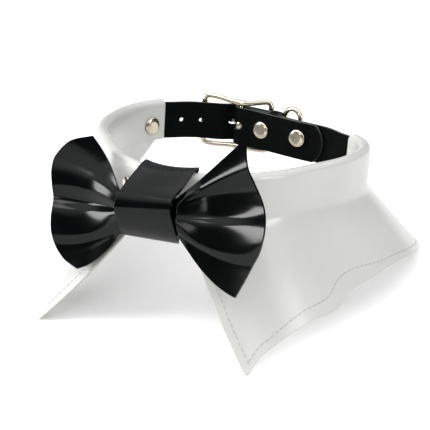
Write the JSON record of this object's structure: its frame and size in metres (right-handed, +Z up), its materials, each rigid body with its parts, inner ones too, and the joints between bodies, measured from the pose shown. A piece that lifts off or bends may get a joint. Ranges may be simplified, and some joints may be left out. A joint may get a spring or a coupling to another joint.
{
  "type": "bow tie choker",
  "caption": "Choker with a folded white shirt-style collar, a pleated black bow tie and a buckled black strap at the back.",
  "frame": {"origin": "middle of the footprint, on the surface that the choker stands on", "axes": "+X to the wearer's left as seen from the front, -Y the front with the bow, +Z up"},
  "size_m": [0.1845, 0.1597, 0.0999],
  "materials": {
    "white_vinyl": "smooth glossy white vinyl sheet",
    "black_vinyl": "mirror-glossy black vinyl",
    "strap": "semi-gloss black leatherette with a fine grain",
    "weave": "fine black basket weave",
    "nickel": "polished nickel plating"
  },
  "bodies": {
    "root": {"collar": "white_vinyl", "strap_tongue": "strap", "strap_buckle": "strap", "keeper": "strap", "rivet_inner_1": "nickel", "rivet_inner_2": "nickel", "rivet_left": "nickel", "rivet_right": "nickel", "buckle_frame": "nickel", "buckle_prong": "nickel", "ring": "nickel", "ring_tab": "strap", "bow": "black_vinyl", "woven_strip": "weave", "knot_band": "black_vinyl", "snap": "nickel"}
  },
  "joints": []
}
